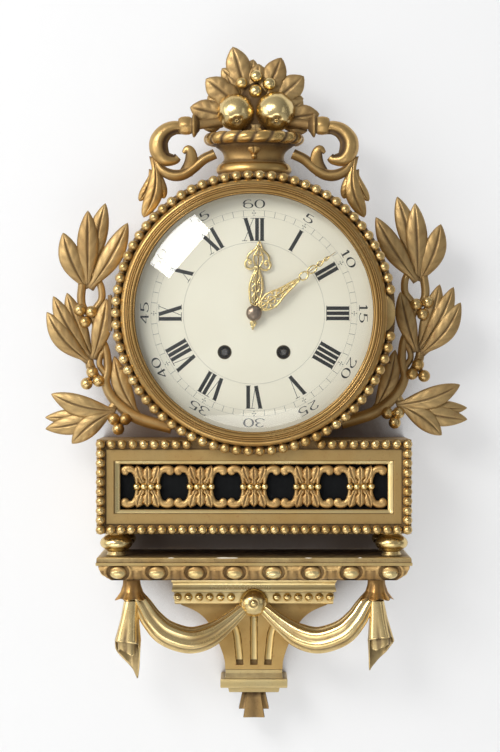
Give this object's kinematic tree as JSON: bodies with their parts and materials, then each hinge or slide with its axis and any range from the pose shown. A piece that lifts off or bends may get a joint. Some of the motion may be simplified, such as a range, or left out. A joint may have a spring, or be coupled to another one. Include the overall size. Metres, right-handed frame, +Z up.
{
  "type": "cartel wall clock",
  "caption": "Carved and gilded wall clock: round drum with a glazed hinged door, urn crest, laurel sprays, pierced plinth and draped bracket, with hands, pendulum and striking bell.",
  "frame": {"origin": "on the wall plane, where the axis of the dial meets the flat back of the case", "axes": "+Z up, +Y into the wall, +X to the right as one looks at the dial"},
  "size_m": [0.4335, 0.1273, 0.6886],
  "materials": {
    "gilded_wood": "matt water gilding over bole on carved wood, toned darker in the recesses",
    "burnished_gilding": "burnished gilding on carved wood",
    "bare_wood": "unfinished wood",
    "brass": "gilt brass",
    "steel": "polished steel",
    "enamel": "glossy cream enamel on copper",
    "glass": "clear domed glass",
    "black_cloth": "thin black silk",
    "bell_metal": "cast bell metal"
  },
  "bodies": {
    "case": {"drum_case": "gilded_wood", "dial_ring": "bare_wood", "back_board": "bare_wood", "hanger_plate": "steel", "hinge_case_leaf": "brass", "hinge_pin": "steel", "dial": "enamel", "plinth_case": "gilded_wood", "plinth_frame": "gilded_wood", "plinth_beads": "burnished_gilding", "fret_panel": "gilded_wood", "fret_cloth": "black_cloth", "foot_front_left": "burnished_gilding", "foot_front_right": "burnished_gilding", "foot_rear_left": "burnished_gilding", "foot_rear_right": "burnished_gilding", "shelf": "gilded_wood", "egg_moulding": "gilded_wood", "console_cap": "gilded_wood", "console_body": "gilded_wood", "console_foot": "gilded_wood", "console_pendant": "gilded_wood", "boss": "burnished_gilding", "drapery_left": "gilded_wood", "drapery_right": "gilded_wood", "urn": "gilded_wood", "fruit_bunch": "gilded_wood", "scroll_left": "gilded_wood", "scroll_right": "gilded_wood", "laurel_left": "gilded_wood", "laurel_right": "gilded_wood", "seat_board": "bare_wood", "front_plate": "brass", "back_plate": "brass", "suspension_cock": "brass", "bell": "bell_metal", "bell_stand": "steel"},
    "door": {"bezel": "gilded_wood", "door_glass": "glass", "bead_ring": "burnished_gilding", "finger_pull": "gilded_wood", "hinge_door_leaf": "brass"},
    "minute": {"centre_arbor": "steel", "minute_hand": "brass"},
    "hour": {"hour_wheel": "brass", "hour_hand": "brass"},
    "motion": {"minute_wheel": "brass"},
    "going_barrel_body": {"going_barrel": "brass"},
    "going_arbor_body": {"going_winding_arbor": "steel"},
    "strike_barrel_body": {"strike_barrel": "brass"},
    "strike_arbor_body": {"strike_winding_arbor": "steel"},
    "escape": {"escape_wheel": "brass"},
    "pendulum": {"pendulum_rod": "steel", "pendulum_bob": "brass", "anchor": "steel"},
    "striker": {"hammer": "steel"}
  },
  "joints": [
    {"name": "door_swing", "type": "hinge", "parent": "case", "child": "door", "pos_m": [-0.144, -0.10615, 0], "axis": [0, 0, -1], "range_deg": [0, 100]},
    {"name": "minute_turn", "type": "hinge", "parent": "case", "child": "minute", "pos_m": [0, -0.1086, 0], "axis": [0, 1, 0], "continuous": true},
    {"name": "hour_turn", "type": "hinge", "parent": "case", "child": "hour", "pos_m": [0, -0.1036, 0], "axis": [0, 1, 0], "continuous": true},
    {"name": "motion_turn", "type": "hinge", "parent": "case", "child": "motion", "pos_m": [-0.0102, -0.08, 0.0102], "axis": [0, 1, 0], "continuous": true},
    {"name": "going_barrel_turn", "type": "hinge", "parent": "case", "child": "going_barrel_body", "pos_m": [0.0295, -0.05, -0.039], "axis": [0, 1, 0], "continuous": true},
    {"name": "going_winding", "type": "hinge", "parent": "case", "child": "going_arbor_body", "pos_m": [0.0295, -0.08, -0.039], "axis": [0, 1, 0], "continuous": true},
    {"name": "strike_barrel_turn", "type": "hinge", "parent": "case", "child": "strike_barrel_body", "pos_m": [-0.0295, -0.05, -0.039], "axis": [0, 1, 0], "continuous": true},
    {"name": "strike_winding", "type": "hinge", "parent": "case", "child": "strike_arbor_body", "pos_m": [-0.0295, -0.08, -0.039], "axis": [0, 1, 0], "continuous": true},
    {"name": "escape_turn", "type": "hinge", "parent": "case", "child": "escape", "pos_m": [0, -0.046, 0.027], "axis": [0, 1, 0], "continuous": true},
    {"name": "pendulum_swing", "type": "hinge", "parent": "case", "child": "pendulum", "pos_m": [0, -0.022, 0.046], "axis": [0, 1, 0], "range_deg": [-4, 4]},
    {"name": "hammer_lift", "type": "hinge", "parent": "case", "child": "striker", "pos_m": [-0.04, -0.0445, 0.03], "axis": [0, -1, 0], "range_deg": [0, 12]}
  ],
  "couplings": [
    {"joint": "hour_turn", "follows": "minute_turn", "ratio": 0.083333},
    {"joint": "motion_turn", "follows": "minute_turn", "ratio": -0.33333}
  ]
}
